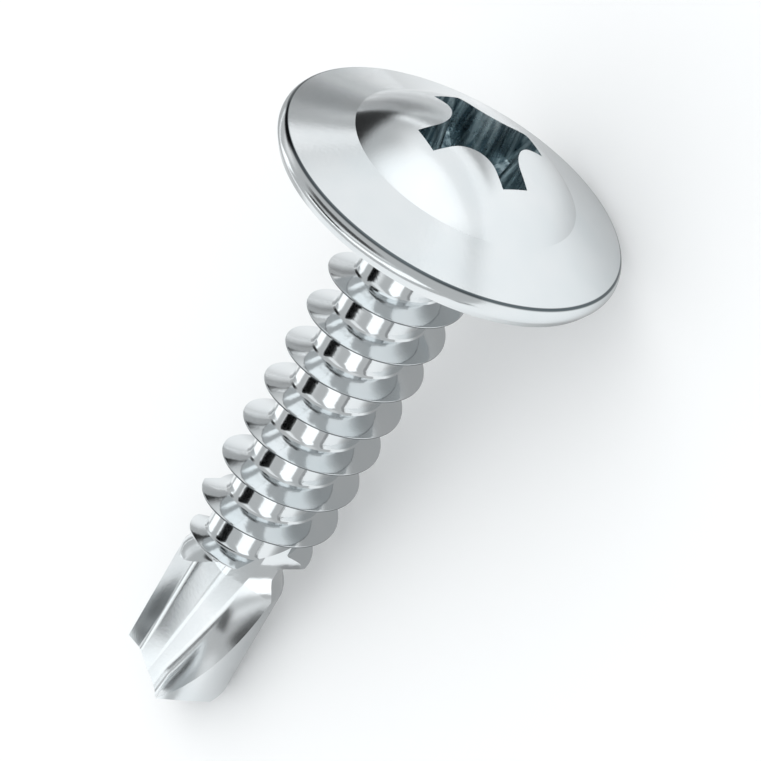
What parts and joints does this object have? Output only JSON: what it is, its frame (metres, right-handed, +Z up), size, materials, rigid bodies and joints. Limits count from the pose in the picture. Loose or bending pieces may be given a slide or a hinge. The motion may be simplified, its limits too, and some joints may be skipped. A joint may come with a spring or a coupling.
{
  "type": "self drilling screw",
  "caption": "Self drilling sheet metal screw with a domed washer head, cross recess, right-hand tapping thread and fluted drill point.",
  "frame": {"origin": "centre of the bounding box on the surface that the screw lies on", "axes": "+Z up, +X along the screw from its head to its point as it lies, its point lower than the head's centre"},
  "size_m": [0.0216, 0.0108, 0.0106],
  "materials": {
    "plated_steel": "bright zinc plating on case hardened steel, mirror smooth"
  },
  "bodies": {
    "root": {"screw": "plated_steel"}
  },
  "joints": []
}
